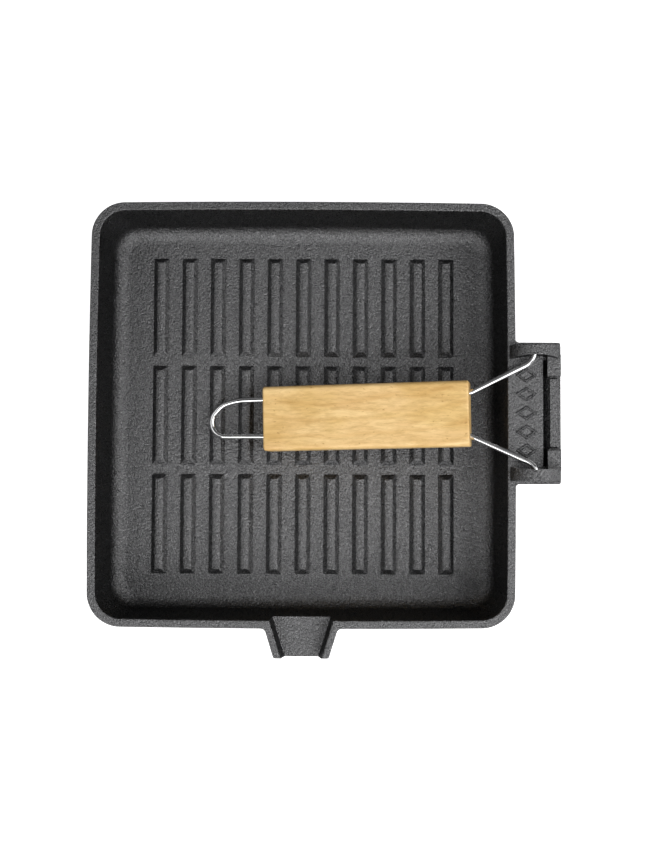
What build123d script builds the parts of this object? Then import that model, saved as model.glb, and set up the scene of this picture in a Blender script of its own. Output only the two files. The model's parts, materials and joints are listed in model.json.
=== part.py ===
"""Square cast-iron grill pan with a folding wire handle and a wooden grip.

The origin is the centre of the flat underside. +Z is up, +X runs towards the
handle bracket, and the pouring spout is on the -Y side. Sizes are in millimetres.
"""

import os
from math import asin, atan2, cos, degrees, hypot, radians, sin, tan

from build123d import *

# Pan body
pan_width = 240.0
pan_height = 40.0
side_bow = 0.9
corner_radius = 19.0
rim_width = 4.7
wall_draft = 7.0
floor_thickness = 4.5
inner_corner_radius = 14.5
floor_corner_radius = 15.0
floor_fillet = 9.0
base_edge_radius = 9.0
rim_edge_radius = 0.7

# Grill ribs
rib_columns = 11
rib_rows = 3
rib_pitch = 16.8
rib_row_gap = 5.3
rib_length = 58.4
rib_grid_shift = 1.0
rib_base_width = 9.2
rib_crown_width = 4.6
rib_crown_rise = 0.45
rib_hip = 3.0
rib_height = 3.0
rib_edge_radius = 0.4
rib_corner_radius = 1.2

# Pouring spout
spout_reach = 16.3
spout_shift = 0.2
spout_root_width = 40.8
spout_tip_width = 30.8
spout_wall = 3.9
spout_channel_depth = 10.0
spout_channel_draft = 1.8
spout_floor_thickness = 4.0
spout_channel_entry = 7.0
spout_tip_radius = 1.4
spout_root_radius = 3.0

# Handle bracket
bracket_reach = 25.1
bracket_width = 79.6
bracket_shift = 0.8
bracket_ledge_drop = 1.5
bracket_thickness = 9.0
bracket_gusset = 6.0
bracket_root_radius = 2.3
bracket_corner_radius = 1.2
plate_reach = 15.0
groove_width = 2.0
groove_wide_extra = 1.8
groove_depth = 6.0
groove_bottom_width = 0.6
groove_end_gap = 0.4
block_length = 9.9
block_reach = 24.5
bar_width = 4.6
bar_rise = 0.6
bar_gap = 0.8
bar_chamfer = 0.7

# Ears and pivot
pivot_reach = 10.0
pivot_rise = 5.0
pivot_bore = 5.2
ear_spacing = 60.6
ear_thickness = 7.7
ear_base_width = 28.3
ear_end_setback = 0.3
ear_rise = 11.0
ear_foot = 0.6
ear_dish_radius = 14.0
ear_dish_depth = 2.3
ear_edge_radius = 0.8

# Raised marks on the plate
mark_count = 5
mark_pitch = 10.6
mark_length = 12.4
mark_width = 8.4
mark_inner_share = 0.55
mark_height = 0.8
mark_taper = 35.0
mark_setback = 1.9

# Wire handle, in its own plane: s runs from the pivot towards the loop, t across
wire_diameter = 3.2
wire_tip_setback = 0.6
wire_neck = 35.6
wire_neck_spread = 24.6
wire_loop_spread = 20.7
wire_loop_shift = -0.65
wire_shoulder_spread = 58.2
shoulder_bend = 9.0
neck_bend = 4.0
handle_yaw = 0.8
handle_side_play = -0.3

# Wooden grip
grip_start = 36.3
grip_length = 117.7
grip_width = 36.8
grip_thickness = 17.0
grip_side_shift = -0.5
grip_turn = 0.35
grip_edge_radius = 2.6
grip_end_radius = 1.2
grip_bore_clearance = 0.25

# Hanging loop: how far its bends lie beyond the end of the grip
loop_entry_reach = 17.0
loop_hip_reach = 26.7
loop_hip_drop = 2.7
loop_crown_reach = 32.6
loop_crown_offset = -1.3
loop_corner_reach = 31.7
loop_entry_bend = 35.0
loop_hip_bend = 12.0
loop_crown_bend = 8.5
loop_corner_bend = 7.8

# Clearances and overlaps
rest_gap = 0.3
join_depth = 1.0
cut_over = 1.0

# Places worked out from the sizes
half_pan = pan_width / 2
draft_slope = tan(radians(wall_draft))
floor_top = floor_thickness
rib_top = floor_top + rib_height
rib_row_pitch = rib_length + rib_row_gap
base_width = pan_width - 2 * pan_height * draft_slope
cavity_width = pan_width - 2 * rim_width
cavity_floor_width = cavity_width - 2 * (pan_height - floor_top) * draft_slope
wall_seat = rim_width / 2
spout_tip_y = -half_pan - spout_reach
spout_bottom = pan_height - spout_channel_depth - spout_floor_thickness
bracket_x = half_pan + bracket_reach
ledge_z = pan_height - bracket_ledge_drop
pivot_x = half_pan + pivot_reach
pivot_z = pan_height + pivot_rise
ear_inner = ear_spacing / 2
ear_outer = ear_inner + ear_thickness
wire_radius = wire_diameter / 2
grip_end = grip_start + grip_length

# The folded handle leans into the pan until its grip or its loop comes down on the ribs
fold_drop = pivot_z - rib_top - rest_gap
grip_corner_reach = hypot(grip_end, grip_thickness / 2)
grip_fold = asin(fold_drop / grip_corner_reach) - atan2(grip_thickness / 2, grip_end)
loop_fold = asin((fold_drop - wire_radius) / (grip_end + loop_crown_reach + wire_radius))
fold_angle = degrees(min(grip_fold, loop_fold))


def bowed_sides(width):
    """Draw the four sides of a square, each bowed outwards a little."""
    edge = width / 2
    corner = edge - side_bow
    corners = [(corner, corner), (-corner, corner), (-corner, -corner), (corner, -corner)]
    middles = [(0, edge), (-edge, 0), (0, -edge), (edge, 0)]
    for index, middle in enumerate(middles):
        ThreePointArc(corners[index], middle, corners[(index + 1) % 4])


def tapering_sides(near_width, far_width, near_y, far_y):
    """Draw the spout's trapezoid, which narrows from near_y to far_y."""
    Polyline(
        (spout_shift - near_width / 2, near_y),
        (spout_shift + near_width / 2, near_y),
        (spout_shift + far_width / 2, far_y),
        (spout_shift - far_width / 2, far_y),
        close=True,
    )


# One rib: a low bar with sloping flanks, a crowned top and hipped ends, set into the floor
rib_flank_height = rib_height - rib_crown_rise
rib_flank_slope = (rib_base_width - rib_crown_width) / 2 / rib_flank_height
rib_hip_slope = rib_hip / rib_height
rib_foot = floor_top - join_depth
with BuildPart() as rib:
    half_foot = rib_base_width / 2 + join_depth * rib_flank_slope
    half_crown = rib_crown_width / 2
    with BuildSketch(Plane.XZ):
        with BuildLine():
            ThreePointArc(
                (-half_crown, floor_top + rib_flank_height),
                (0, rib_top),
                (half_crown, floor_top + rib_flank_height),
            )
            Polyline(
                (half_crown, floor_top + rib_flank_height),
                (half_foot, rib_foot),
                (-half_foot, rib_foot),
                (-half_crown, floor_top + rib_flank_height),
            )
        make_face()
    extrude(amount=rib_length, both=True)
    half_length = rib_length / 2 + join_depth * rib_hip_slope
    half_ridge = rib_length / 2 - rib_hip - join_depth * rib_hip_slope
    with BuildSketch(Plane.YZ):
        with BuildLine():
            Polyline(
                (-half_length, rib_foot),
                (half_length, rib_foot),
                (half_ridge, rib_top + join_depth),
                (-half_ridge, rib_top + join_depth),
                close=True,
            )
        make_face()
    extrude(amount=rib_base_width, both=True, mode=Mode.INTERSECT)
    rib_corners = rib.edges().filter_by(lambda edge: edge.bounding_box().size.Y > rib_hip / 2)
    fillet(rib_corners.filter_by(lambda edge: edge.length < rib_length / 2), rib_corner_radius)
    fillet(rib.faces().sort_by(Axis.Z)[-1].edges(), rib_edge_radius)

# One ear: an arched lug with a dished inner face and the pivot hole
ear_right = bracket_x - ear_end_setback
ear_left = ear_right - ear_base_width
ear_middle = (ear_left + ear_right) / 2
ear_bottom = ledge_z - bracket_ledge_drop
with BuildPart() as ear:
    with BuildSketch(Plane.XZ.offset(-ear_outer)):
        with BuildLine():
            ThreePointArc(
                (ear_left, pan_height + ear_foot),
                (ear_middle, pan_height + ear_rise),
                (ear_right, pan_height + ear_foot),
            )
            Polyline(
                (ear_right, pan_height + ear_foot),
                (ear_right, ear_bottom),
                (ear_left, ear_bottom),
                (ear_left, pan_height + ear_foot),
            )
        make_face()
    extrude(amount=ear_thickness)
    fillet(ear.edges().filter_by(GeomType.CIRCLE).sort_by(Axis.Y)[-1], ear_edge_radius)
    with BuildSketch(Plane.XY.offset(pivot_z)):
        with BuildLine():
            Polyline(
                (pivot_x, ear_inner - cut_over),
                (pivot_x + ear_dish_radius, ear_inner - cut_over),
                (pivot_x + ear_dish_radius, ear_inner),
                (pivot_x + pivot_bore / 2, ear_inner + ear_dish_depth),
                (pivot_x + pivot_bore / 2, ear_outer + cut_over),
                (pivot_x, ear_outer + cut_over),
                close=True,
            )
        make_face()
    revolve(axis=Axis((pivot_x, 0, pivot_z), (0, 1, 0)), mode=Mode.SUBTRACT)

# The hollow of the pan, down to its floor
with BuildPart() as cavity:
    with BuildSketch(Plane.XY.offset(floor_top)) as cavity_floor:
        with BuildLine():
            bowed_sides(cavity_floor_width)
        make_face()
        fillet(cavity_floor.vertices(), floor_corner_radius)
    with BuildSketch(Plane.XY.offset(pan_height)) as cavity_mouth:
        with BuildLine():
            bowed_sides(cavity_width)
        make_face()
        fillet(cavity_mouth.vertices(), inner_corner_radius)
    loft(ruled=True)
    fillet(cavity.faces().sort_by(Axis.Z)[0].edges(), floor_fillet)

# The pan: body, spout, bracket, ears and ribs are one casting
with BuildPart() as pan:
    with BuildSketch() as base_outline:
        with BuildLine():
            bowed_sides(base_width)
        make_face()
        fillet(base_outline.vertices(), corner_radius)
    with BuildSketch(Plane.XY.offset(pan_height)) as rim_outline:
        with BuildLine():
            bowed_sides(pan_width)
        make_face()
        fillet(rim_outline.vertices(), corner_radius)
    loft(ruled=True)
    fillet(pan.faces().sort_by(Axis.Z)[0].edges(), base_edge_radius)

    # Spout body, its tips rounded and its roots blended into the wall
    spout_slope = (spout_root_width - spout_tip_width) / spout_reach
    spout_seat = wall_seat + join_depth + (pan_height - spout_bottom) * draft_slope
    seat_width = spout_root_width + spout_slope * spout_seat
    with BuildSketch(Plane.XY.offset(spout_bottom)) as spout_outline:
        with BuildLine():
            tapering_sides(seat_width, spout_tip_width, spout_seat - half_pan, spout_tip_y)
        make_face()
        fillet(spout_outline.vertices().group_by(Axis.Y)[0], spout_tip_radius)
    extrude(amount=pan_height - spout_bottom)
    spout_roots = pan.edges(Select.LAST).filter_by(
        lambda edge: edge.bounding_box().size.Z > spout_channel_depth
        and abs(edge.center().X - spout_shift) > spout_tip_width / 2 + spout_tip_radius
    )
    fillet(spout_roots, spout_root_radius)
    add(cavity.part, mode=Mode.SUBTRACT)

    # Spout channel, open at the tip and into the pan
    wall_across = spout_wall / cos(atan2(spout_slope / 2, 1))
    channel_near_y = spout_channel_entry - half_pan
    channel_far_y = spout_tip_y - cut_over
    for level, drop in ((pan_height, 0), (pan_height - spout_channel_depth, spout_channel_draft)):
        channel_width = spout_root_width - 2 * (wall_across + drop)
        near_width = channel_width + spout_slope * (channel_near_y + half_pan)
        far_width = channel_width + spout_slope * (channel_far_y + half_pan)
        with BuildSketch(Plane.XY.offset(level)):
            with BuildLine():
                tapering_sides(near_width, far_width, channel_near_y, channel_far_y)
            make_face()
    loft(ruled=True, mode=Mode.SUBTRACT)
    fillet(pan.faces().sort_by(Axis.Z)[-1].edges(), rim_edge_radius)

    # Bracket slab with a sloping underside, its roots blended into the wall
    slab_seat = half_pan - wall_seat
    gusset_seat = slab_seat - (bracket_thickness + bracket_gusset) * draft_slope
    with BuildSketch(Plane.XZ.offset(-bracket_shift - bracket_width / 2)):
        with BuildLine():
            Polyline(
                (slab_seat, ledge_z),
                (bracket_x, ledge_z),
                (bracket_x, pan_height - bracket_thickness),
                (gusset_seat, pan_height - bracket_thickness - bracket_gusset),
                close=True,
            )
        make_face()
    extrude(amount=bracket_width)
    slab_edges = pan.edges(Select.LAST)
    fillet(slab_edges.filter_by(Axis.Z).group_by(Axis.X)[-1], bracket_corner_radius)
    bracket_roots = pan.edges().filter_by(
        lambda edge: abs(abs(edge.center().Y - bracket_shift) - bracket_width / 2) < rim_edge_radius
        and edge.center().X < half_pan
        and edge.bounding_box().size.Z > bracket_thickness / 2
    )
    fillet(bracket_roots, bracket_root_radius)

    # Flush plate
    plate_end = half_pan + plate_reach
    with BuildSketch(Plane.XY.offset(ledge_z)):
        with Locations(((slab_seat + plate_end) / 2, bracket_shift)):
            Rectangle(plate_end - slab_seat, ear_spacing + ear_thickness)
    extrude(amount=pan_height - ledge_z)

    # Resting blocks, whose tops lie just under the legs of the opened handle
    block_start = plate_end + groove_width
    block_end = half_pan + block_reach
    block_near = ear_inner - block_length
    block_far = ear_inner + ear_dish_depth
    with BuildSketch(Plane.XY.offset(ledge_z)):
        for side in (-1, 1):
            block_y = bracket_shift + side * (block_near + block_far) / 2
            with Locations(((block_start + block_end) / 2, block_y)):
                Rectangle(block_end - block_start, block_far - block_near)
    extrude(amount=pivot_z - wire_radius - rest_gap - ledge_z)
    chamfer(pan.faces().sort_by(Axis.Z)[-2:].edges().filter_by(Axis.X), bar_chamfer)

    # Crossbar between the blocks
    bar_start = block_start + groove_wide_extra
    with BuildSketch(Plane.XY.offset(ledge_z)):
        with Locations((bar_start + bar_width / 2, bracket_shift)):
            Rectangle(bar_width, 2 * (block_near - bar_gap))
    extrude(amount=pan_height + bar_rise - ledge_z)
    bar_top = pan.faces(Select.LAST).sort_by(Axis.Z)[-1]
    chamfer(bar_top.edges().sort_by(Axis.X)[1:], bar_chamfer)

    # Groove between the plate and the bar, with one sloping side
    groove_z = pan_height - groove_depth
    for far_x, half_groove in ((block_start, ear_inner - groove_end_gap), (bar_start, block_near)):
        with BuildSketch(Plane.XZ.offset(-bracket_shift)):
            with BuildLine():
                Polyline(
                    (plate_end, ledge_z + cut_over),
                    (far_x, ledge_z + cut_over),
                    (far_x, ledge_z),
                    (plate_end + groove_bottom_width, groove_z),
                    (plate_end, groove_z),
                    close=True,
                )
            make_face()
        extrude(amount=half_groove, both=True, mode=Mode.SUBTRACT)

    # Ears
    with Locations((0, bracket_shift, 0)):
        add(ear.part)
        add(mirror(ear.part, about=Plane.XZ, mode=Mode.PRIVATE))

    # Ribs on the floor
    with Locations((0, rib_grid_shift)):
        with GridLocations(rib_pitch, rib_row_pitch, rib_columns, rib_rows):
            add(rib.part)

    # Raised marks: a row of plain lozenge outlines with sloping flanks
    with BuildSketch(Plane.XY.offset(pan_height)):
        with Locations((half_pan + plate_reach / 2 - mark_setback, bracket_shift)):
            with GridLocations(1, mark_pitch, 1, mark_count):
                lozenge = [(mark_length / 2, 0), (0, mark_width / 2)]
                lozenge += [(-x, -y) for x, y in lozenge]
                Polygon(lozenge)
                inner = [(x * mark_inner_share, y * mark_inner_share) for x, y in lozenge]
                Polygon(inner, mode=Mode.SUBTRACT)
    extrude(amount=mark_height, taper=mark_taper)

# The handle lies in one plane through the pivot line, folded down into the pan
lean = radians(fold_angle)
handle_plane = Plane(
    origin=(pivot_x, bracket_shift + handle_side_play, pivot_z),
    x_dir=(-cos(lean), 0, -sin(lean)),
    z_dir=(-sin(lean), 0, cos(lean)),
).rotated((0, 0, handle_yaw))
near_side = wire_loop_shift - wire_loop_spread / 2
far_side = wire_loop_shift + wire_loop_spread / 2
near_leg = ((wire_neck, -wire_neck_spread / 2), (grip_end + loop_entry_reach, near_side))
far_leg = ((wire_neck, wire_neck_spread / 2), (grip_end + loop_corner_reach, far_side))

# Wire handle: hooked tips, a V of two legs, and a hanging loop
tip = ear_outer - wire_tip_setback
shoulder = wire_shoulder_spread / 2
with BuildPart() as wire_handle:
    with BuildLine(handle_plane) as wire_path:
        FilletPolyline(
            (0, -tip),
            (0, -shoulder),
            near_leg[0],
            near_leg[1],
            (grip_end + loop_hip_reach, near_side + loop_hip_drop),
            (grip_end + loop_crown_reach, loop_crown_offset),
            far_leg[1],
            far_leg[0],
            (0, shoulder),
            (0, tip),
            radius=[
                shoulder_bend,
                neck_bend,
                loop_entry_bend,
                loop_hip_bend,
                loop_crown_bend,
                loop_corner_bend,
                neck_bend,
                shoulder_bend,
            ],
        )
    with BuildSketch(Plane(origin=wire_path.line @ 0, z_dir=wire_path.line % 0)):
        Circle(wire_radius)
    sweep(path=wire_path.line)

# Wooden grip: a block with rounded edges and two bores for the legs
grip_plane = handle_plane.rotated((0, 0, grip_turn))
with BuildPart() as wood_grip:
    with BuildSketch(grip_plane.offset(-grip_thickness / 2)):
        with Locations((grip_start + grip_length / 2, grip_side_shift)):
            Rectangle(grip_length, grip_width)
    extrude(amount=grip_thickness)
    grip_axis = Axis(grip_plane.origin, grip_plane.x_dir)
    fillet(wood_grip.edges().filter_by(grip_axis), grip_edge_radius)
    fillet(wood_grip.faces().filter_by(grip_axis).edges(), grip_end_radius)
    for leg in (near_leg, far_leg):
        with BuildLine(handle_plane) as bore_path:
            Line(*leg)
        with BuildSketch(Plane(origin=bore_path.line @ 0, z_dir=bore_path.line % 0)):
            Circle(wire_radius + grip_bore_clearance)
        sweep(path=bore_path.line, mode=Mode.SUBTRACT)

os.makedirs("parts", exist_ok=True)
for name, piece in (("pan", pan), ("wire_handle", wire_handle), ("wood_grip", wood_grip)):
    piece.part.label = name
    export_step(piece.part, f"parts/{name}.step")
print("fold angle", round(fold_angle, 2))
print("open angle", round(180 + fold_angle, 2))
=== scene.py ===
# %% [markdown]
# A grill pan with a folding handle
#
# The object is a square cast-iron pan with raised ribs, a pouring spout and a wire
# handle with a wooden grip. Its solids come in at their real size, already in place.
# Every shape of the real pan is already in them, so this lesson is about surfaces and
# light: seasoned iron from a sand mould, bright wire, and a planed block of pale wood.
# Lengths are in metres.

# %% Load the pan's solids
import json
import math

import bpy
from mathutils import Matrix, Vector


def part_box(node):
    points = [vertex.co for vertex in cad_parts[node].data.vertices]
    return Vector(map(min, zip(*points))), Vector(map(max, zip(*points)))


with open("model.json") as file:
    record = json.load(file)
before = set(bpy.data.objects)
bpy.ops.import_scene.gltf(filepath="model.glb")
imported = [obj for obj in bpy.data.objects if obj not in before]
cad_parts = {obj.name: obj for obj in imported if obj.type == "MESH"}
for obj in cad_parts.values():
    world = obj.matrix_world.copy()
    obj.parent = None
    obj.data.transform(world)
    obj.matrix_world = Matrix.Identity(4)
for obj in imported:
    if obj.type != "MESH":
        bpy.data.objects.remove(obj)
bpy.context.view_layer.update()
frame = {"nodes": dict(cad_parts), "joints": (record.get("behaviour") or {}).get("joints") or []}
nodes = frame["nodes"]
for name, piece in sorted(nodes.items()):
    print(name, len(piece.data.polygons), "faces")

# %% [markdown]
# Where the photographer stood
#
# The pan was photographed from nearly straight above. A camera can be placed by eye, or
# be given the numbers of a fit. The fit was chosen, because then the render and the
# photo can be laid over each other. It gives the focal length in pixels, the distance
# from the middle of the rim, and three small turns, and it came from matching the rim's
# outline and the rib grid.

# %% Turns of the camera
CAMERA_TURNS = (-0.0500, -0.0020, -0.0045)


def photo_rotation(turns):
    """World axes to camera axes: about X first, then Y, then Z."""
    about_x, about_y, about_z = (Matrix.Rotation(turn, 3, axis) for turn, axis in zip(turns, "XYZ"))
    return about_z @ about_y @ about_x


to_world = photo_rotation(CAMERA_TURNS).transposed()
print("camera turns", [round(math.degrees(turn), 2) for turn in CAMERA_TURNS], "degrees")

# %% Camera over the pan
PHOTO_WIDTH = 648
FOCAL_PIXELS = 1214.8
SENSOR_WIDTH = 36.0
RIM_HEIGHT = 0.040
CAMERA_DISTANCE = 0.680
PAN_OFFSET = Vector((-0.01237, 0.01042, 0.0))


def add_camera():
    """A camera that looks down at the pan as the photographer did."""
    lens = bpy.data.cameras.new("camera")
    lens.sensor_fit = "HORIZONTAL"
    lens.sensor_width = SENSOR_WIDTH
    lens.lens = FOCAL_PIXELS / PHOTO_WIDTH * SENSOR_WIDTH
    camera = bpy.data.objects.new("camera", lens)
    bpy.context.scene.collection.objects.link(camera)
    eye = to_world @ (Vector((0, 0, CAMERA_DISTANCE)) - PAN_OFFSET)
    eye.z += RIM_HEIGHT
    camera.matrix_world = Matrix.Translation(eye) @ to_world.to_4x4()
    bpy.context.scene.camera = camera
    return camera


camera = add_camera()
print("camera at", [round(x, 3) for x in camera.matrix_world.translation])

# %% [markdown]
# Helpers for materials
#
# A finish is a small graph of nodes. It could be wired by hand in the shader editor.
# Helpers were chosen, because each one adds a node with its numbers and joins it to the
# last, so that a finish below reads as a short list of what it does.

# %% Start a finish
WHITE = (1.0, 1.0, 1.0)


def new_finish(name):
    """A material with only its shader; returns the material, its tree and its shader."""
    finish = bpy.data.materials.new(name)
    finish.use_nodes = True
    tree = finish.node_tree
    tree.nodes.clear()
    output = tree.nodes.new("ShaderNodeOutputMaterial")
    shader = tree.nodes.new("ShaderNodeBsdfPrincipled")
    tree.links.new(shader.outputs["BSDF"], output.inputs["Surface"])
    return finish, tree, shader


def use_finish(piece, finish):
    """Gives a piece one finish in every slot."""
    piece.data.materials.clear()
    piece.data.materials.append(finish)


def opaque(colour):
    """The colour with the fourth number that sockets and ramps ask for."""
    return (*colour, 1.0)


print("white is", opaque(WHITE))

# %% Add nodes


def add_node(tree, kind, **values):
    """Adds a node and sets the inputs or settings that are named."""
    node = tree.nodes.new(kind)
    for key, value in values.items():
        label = key.replace("_", " ")
        if label in node.inputs:
            node.inputs[label].default_value = value
        else:
            setattr(node, key, value)
    return node


def add_texture(tree, kind, space, values):
    """A texture laid in the given space; returns its grey value."""
    texture = add_node(tree, kind, **values)
    tree.links.new(space, texture.inputs["Vector"])
    return texture.outputs["Fac"]


def add_bump(tree, height, below, values):
    """Bump from a grey value, over another bump if there is one; returns its normal."""
    bump = add_node(tree, "ShaderNodeBump", **values)
    tree.links.new(height, bump.inputs["Height"])
    if below is not None:
        tree.links.new(below, bump.inputs["Normal"])
    return bump.outputs["Normal"]


print("helpers:", add_node.__name__, add_texture.__name__, add_bump.__name__)

# %% Turn grey values into colours and levels
MIX_FIRST, MIX_SECOND, MIX_RESULT = 6, 7, 2  # the colour sockets of a Mix node


def blend_colours(tree, grey, colours, span):
    """A ramp between two colours, over the span of the grey value."""
    ramp = add_node(tree, "ShaderNodeValToRGB")
    for stop, colour, position in zip(ramp.color_ramp.elements, colours, span):
        stop.color = opaque(colour)
        stop.position = position
    tree.links.new(grey, ramp.inputs["Fac"])
    return ramp.outputs["Color"]


def map_value(tree, grey, span, levels):
    """The grey value's span, mapped to two levels and held at its ends."""
    node = add_node(tree, "ShaderNodeMapRange")
    for key, number in zip(("From Min", "From Max", "To Min", "To Max"), (*span, *levels)):
        node.inputs[key].default_value = number
    tree.links.new(grey, node.inputs["Value"])
    return node.outputs["Result"]


def multiply_colours(tree, first, second):
    """One colour laid over another, as a glaze over paint."""
    mix = add_node(tree, "ShaderNodeMix", data_type="RGBA", blend_type="MULTIPLY", Factor=1.0)
    tree.links.new(first, mix.inputs[MIX_FIRST])
    tree.links.new(second, mix.inputs[MIX_SECOND])
    return mix.outputs[MIX_RESULT]


print("helpers:", blend_colours.__name__, map_value.__name__, multiply_colours.__name__)

# %% [markdown]
# Seasoned cast iron
#
# Sand-cast iron has a granular orange-peel skin, and its seasoning is dark with a satin
# sheen. Almost all that the eye sees is that sheen: faces that look up at the lights are
# mid grey, and steep walls stay black. The sheen could be a clear layer over black
# paint, but that shines brightly where the eye skims along a wall. So the shader is a
# dark metal, whose edge tint is darker still. Noise at two sizes drives the bump and the
# sheen, so that single grains catch the light.

# %% Cast-iron finish
NOISE = "ShaderNodeTexNoise"
IRON_SAND = {"Scale": 1500.0, "Detail": 2.0, "Roughness": 0.6}
IRON_GRAIN = {"Scale": 760.0, "Detail": 3.0, "Roughness": 0.65}
IRON_COLOURS = ((0.062, 0.062, 0.064), (0.205, 0.205, 0.208))
IRON_EDGE = (0.34, 0.34, 0.34)
IRON_SPAN = (0.35, 0.65)
IRON_SHEEN = (0.24, 0.38)
IRON_PEEL = {"Strength": 0.9, "Distance": 0.0009}
IRON_PITS = {"Strength": 0.8, "Distance": 0.0004}


def make_iron():
    """Near-black satin iron with a sand-cast skin."""
    finish, tree, shader = new_finish("seasoned_iron")
    place = add_node(tree, "ShaderNodeTexCoord").outputs["Object"]
    sand = add_texture(tree, NOISE, place, IRON_SAND)
    grain = add_texture(tree, NOISE, place, IRON_GRAIN)
    peel = add_bump(tree, grain, None, IRON_PEEL)
    pits = add_bump(tree, sand, peel, IRON_PITS)
    tree.links.new(blend_colours(tree, sand, IRON_COLOURS, IRON_SPAN), shader.inputs["Base Color"])
    tree.links.new(map_value(tree, grain, IRON_SPAN, IRON_SHEEN), shader.inputs["Roughness"])
    tree.links.new(pits, shader.inputs["Normal"])
    shader.inputs["Metallic"].default_value = 1.0
    shader.inputs["Specular Tint"].default_value = opaque(IRON_EDGE)
    return finish


iron = make_iron()
use_finish(nodes["pan"], iron)
print(iron.name, "on the pan,", len(iron.node_tree.nodes), "nodes")

# %% [markdown]
# Bright wire
#
# The handle is one steel wire, plated bright. Scratches along it could be added, but the
# photo shows none, and at this size they would only sparkle. So the plating stays smooth
# and mirrors the lights as long thin lines, and a faint cloud of dullness from handling
# is all that breaks it.

# %% Wire finish
WIRE_CLOUD = {"Scale": 120.0, "Detail": 3.0}
WIRE_COLOURS = ((0.72, 0.72, 0.73), (0.84, 0.84, 0.84))
WIRE_COLOUR_SPAN = (0.35, 0.65)
WIRE_DULL = (0.09, 0.16)
WIRE_DULL_SPAN = (0.3, 0.7)


def make_wire():
    """Bright plated steel, very slightly clouded."""
    finish, tree, shader = new_finish("bright_wire")
    place = add_node(tree, "ShaderNodeTexCoord").outputs["Object"]
    cloud = add_texture(tree, NOISE, place, WIRE_CLOUD)
    colour = blend_colours(tree, cloud, WIRE_COLOURS, WIRE_COLOUR_SPAN)
    tree.links.new(colour, shader.inputs["Base Color"])
    tree.links.new(map_value(tree, cloud, WIRE_DULL_SPAN, WIRE_DULL), shader.inputs["Roughness"])
    shader.inputs["Metallic"].default_value = 1.0
    return finish


bright_wire = make_wire()
use_finish(nodes["wire_handle"], bright_wire)
print(bright_wire.name, "on the handle,", len(bright_wire.node_tree.nodes), "nodes")

# %% [markdown]
# The space of the wood
#
# The grip is a block sawn from a plank, so its grain runs along the block. The folded
# block slopes down into the pan. A texture could be laid in the pan's own space, but
# then its streaks would leave the block at an angle. So the space is turned with the
# block first, and then squeezed along it, which draws the textures out into streaks.

# %% Turn and squeeze the wood's space
PIVOT = Vector(frame["joints"][0]["pos_m"])
BLOCK_SHIFT = (0.013, 0.0, 0.0)
GRAIN_SQUEEZE = (0.20, 1.0, 1.0)
HEART_SHIFT = (-0.020, -0.075, 0.0)
HEART_SQUEEZE = (0.55, 1.0, 1.0)


def grip_slope():
    """Angle of the folded handle below level, from the pivot to the low end of the loop."""
    loop_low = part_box("wire_handle")[0]
    return math.atan2(PIVOT.z - loop_low.z, PIVOT.x - loop_low.x)


def add_space(tree, space, **values):
    """The given space, moved, turned or squeezed."""
    mapping = add_node(tree, "ShaderNodeMapping", **values)
    tree.links.new(space, mapping.inputs["Vector"])
    return mapping.outputs["Vector"]


def wood_spaces(tree):
    """The space of the straight grain and the space of the curved figure."""
    place = add_node(tree, "ShaderNodeTexCoord").outputs["Object"]
    block = add_space(tree, place, Location=BLOCK_SHIFT, Rotation=(0.0, grip_slope(), 0.0))
    grain = add_space(tree, block, Scale=GRAIN_SQUEEZE)
    heart = add_space(tree, block, Location=HEART_SHIFT, Scale=HEART_SQUEEZE)
    return {"grain": grain, "heart": heart}


print("the grip slopes down by", round(math.degrees(grip_slope()), 1), "degrees")

# %% [markdown]
# Layers of the wood
#
# Pale hardwood is straw and honey in slow bands, with fine streaks of pores, a hint of
# curved growth rings, rare small flecks and a few dusky blotches. A single noise would
# look like smoke. So each of these is a texture with its own two colours, and they are
# laid over each other as glazes.

# %% Wood textures
BANDS = {"Scale": 95.0, "Detail": 3.0, "Roughness": 0.6, "Distortion": 0.9}
STREAKS = {"Scale": 620.0, "Detail": 5.0, "Roughness": 0.7, "Distortion": 0.4}
RINGS = {
    "wave_type": "RINGS",
    "rings_direction": "SPHERICAL",
    "Scale": 34.0,
    "Distortion": 3.4,
    "Detail": 3.0,
    "Detail_Scale": 1.2,
}
FLECKS = {"Scale": 780.0, "Detail": 1.0, "Roughness": 0.4}
BLOTCHES = {"Scale": 42.0, "Detail": 2.0, "Roughness": 0.6}
STRAW = (0.78, 0.51, 0.215)
HONEY = (0.93, 0.675, 0.325)
WAVE = "ShaderNodeTexWave"
WOOD_LAYERS = {  # kind of texture, space, its numbers, two colours, span of its grey value
    "bands": (NOISE, "grain", BANDS, (STRAW, HONEY), (0.3, 0.7)),
    "streaks": (NOISE, "grain", STREAKS, ((0.78, 0.72, 0.62), WHITE), (0.32, 0.58)),
    "rings": (WAVE, "heart", RINGS, ((0.94, 0.90, 0.83), WHITE), (0.0, 0.35)),
    "flecks": (NOISE, "heart", FLECKS, (WHITE, (0.70, 0.58, 0.42)), (0.70, 0.80)),
    "blotches": (NOISE, "heart", BLOTCHES, ((0.90, 0.87, 0.74), WHITE), (0.38, 0.55)),
}
print("layers of the wood:", ", ".join(WOOD_LAYERS))

# %% Wood finish
WOOD_ROUGHNESS = 0.5
WOOD_BUMP = {"Strength": 0.35, "Distance": 0.0002}


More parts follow.
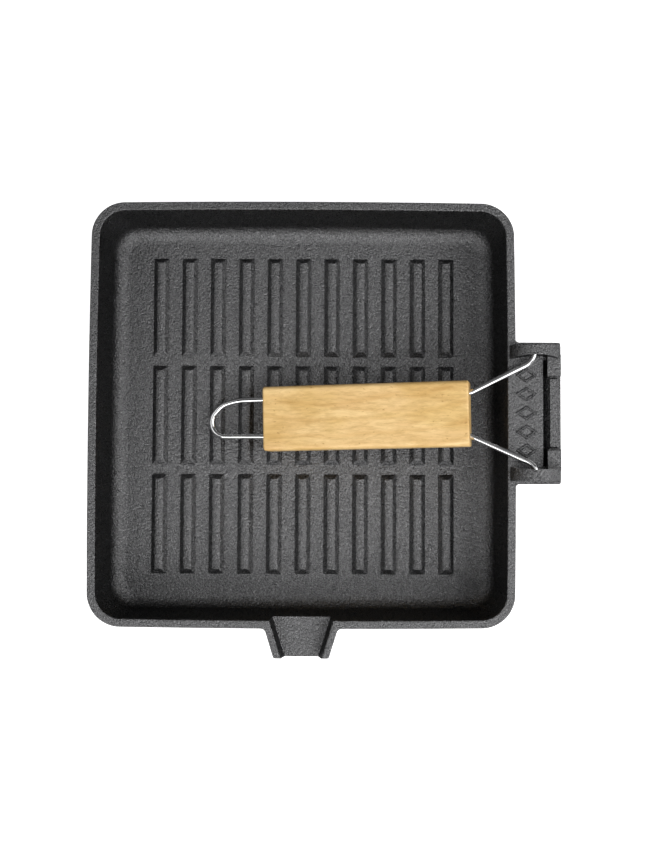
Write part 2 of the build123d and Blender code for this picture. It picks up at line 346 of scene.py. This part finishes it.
def make_wood():
    """Honey-coloured hardwood with lengthwise grain."""
    finish, tree, shader = new_finish("pale_wood")
    spaces = wood_spaces(tree)
    greys = {}
    glazed = None
    for layer, (kind, space, values, colours, span) in WOOD_LAYERS.items():
        greys[layer] = add_texture(tree, kind, spaces[space], values)
        colour = blend_colours(tree, greys[layer], colours, span)
        glazed = colour if glazed is None else multiply_colours(tree, glazed, colour)
    tree.links.new(glazed, shader.inputs["Base Color"])
    tree.links.new(add_bump(tree, greys["streaks"], None, WOOD_BUMP), shader.inputs["Normal"])
    shader.inputs["Roughness"].default_value = WOOD_ROUGHNESS
    return finish


wood = make_wood()
use_finish(nodes["wood_grip"], wood)
print(wood.name, "on the grip,", len(wood.node_tree.nodes), "nodes")

# %% [markdown]
# A white floor
#
# The photo has a pure white ground. A plain white plane under soft light comes out pale
# grey, and brighter lamps would wash out the wood. So the floor glows a little, but only
# for rays that come from the camera or from a mirror, and the glow lights nothing. The
# pan's soft shadow on it stays.

# %% Floor under the pan
FLOOR_SIZE = 30.0
FLOOR_DROP = 0.0002
FLOOR_COLOUR = (0.85, 0.85, 0.85)
FLOOR_ROUGHNESS = 0.9
FLOOR_GLOW = 0.75


def larger_of(tree, first, second):
    """The larger of two values."""
    node = add_node(tree, "ShaderNodeMath", operation="MAXIMUM")
    tree.links.new(first, node.inputs[0])
    tree.links.new(second, node.inputs[1])
    return node.outputs["Value"]


def make_floor_finish():
    """Matt white that glows only where the camera or a mirror sees it."""
    finish, tree, shader = new_finish("white_floor")
    path = add_node(tree, "ShaderNodeLightPath").outputs
    seen = larger_of(tree, path["Is Camera Ray"], path["Is Glossy Ray"])
    seen = larger_of(tree, seen, path["Is Transmission Ray"])
    glow = add_node(tree, "ShaderNodeMath", operation="MULTIPLY")
    glow.inputs[1].default_value = FLOOR_GLOW
    tree.links.new(seen, glow.inputs[0])
    tree.links.new(glow.outputs["Value"], shader.inputs["Emission Strength"])
    shader.inputs["Emission Color"].default_value = opaque(WHITE)
    shader.inputs["Base Color"].default_value = opaque(FLOOR_COLOUR)
    shader.inputs["Roughness"].default_value = FLOOR_ROUGHNESS
    return finish


bpy.ops.mesh.primitive_plane_add(size=FLOOR_SIZE, location=(0, 0, -FLOOR_DROP))
floor = bpy.context.object
floor.name = "floor"
use_finish(floor, make_floor_finish())
print(floor.name, FLOOR_SIZE, "m across")

# %% [markdown]
# Studio light
#
# Two soft panels hang overhead, towards the spout and the bracket, so that level iron
# shines grey. Four long panels stand round the pan, lower down. The rounded foot of each
# wall mirrors the panel on the opposite side as a bright band, strongest in the wall
# that faces the spout, and the wire mirrors them as thin lines. The steep walls look
# under all of them and stay dark. One big dome of light would be simpler, but it would
# light walls and floor alike, and iron without dark parts looks like plastic.

# %% Light panels
SIDE_REACH = 1.05
SIDE_HEIGHT = 0.95
SIDE_DEPTH = 0.85
PANELS = (  # name, centre, width, depth and brightness
    ("overhead", (0.20, -0.20, 1.50), 1.20, 1.20, 0.52),
    ("overhead_corner", (0.48, -0.30, 1.45), 0.90, 0.90, 1.05),
    ("spout_side", (0, -SIDE_REACH, SIDE_HEIGHT), 1.8, SIDE_DEPTH, 3.55),
    ("bracket_side", (SIDE_REACH, 0, SIDE_HEIGHT), 1.1, SIDE_DEPTH, 3.6),
    ("loop_side", (-SIDE_REACH, 0, SIDE_HEIGHT), 1.1, SIDE_DEPTH, 1.2),
    ("far_side", (0, SIDE_REACH, SIDE_HEIGHT), 1.8, SIDE_DEPTH, 0.12),
)


def add_panel(name, centre, width, depth, brightness):
    """An oblong soft light that faces the pan, as bright as told whatever its size."""
    lamp = bpy.data.lights.new(name, "AREA")
    lamp.shape = "RECTANGLE"
    lamp.size = width
    lamp.size_y = depth
    lamp.energy = brightness * width * depth * math.pi
    panel = bpy.data.objects.new(name, lamp)
    bpy.context.scene.collection.objects.link(panel)
    panel.location = centre
    panel.rotation_euler = (-Vector(centre)).to_track_quat("-Z", "Y").to_euler()


for numbers in PANELS:
    add_panel(*numbers)

# %% Light from all round
WORLD_LEVEL = 0.06

world = bpy.data.worlds.new("studio")
bpy.context.scene.world = world
world.use_nodes = True
background = world.node_tree.nodes["Background"]
background.inputs["Color"].default_value = opaque(WHITE)
background.inputs["Strength"].default_value = WORLD_LEVEL
bpy.context.scene.view_settings.view_transform = "Standard"
print("world level", WORLD_LEVEL)
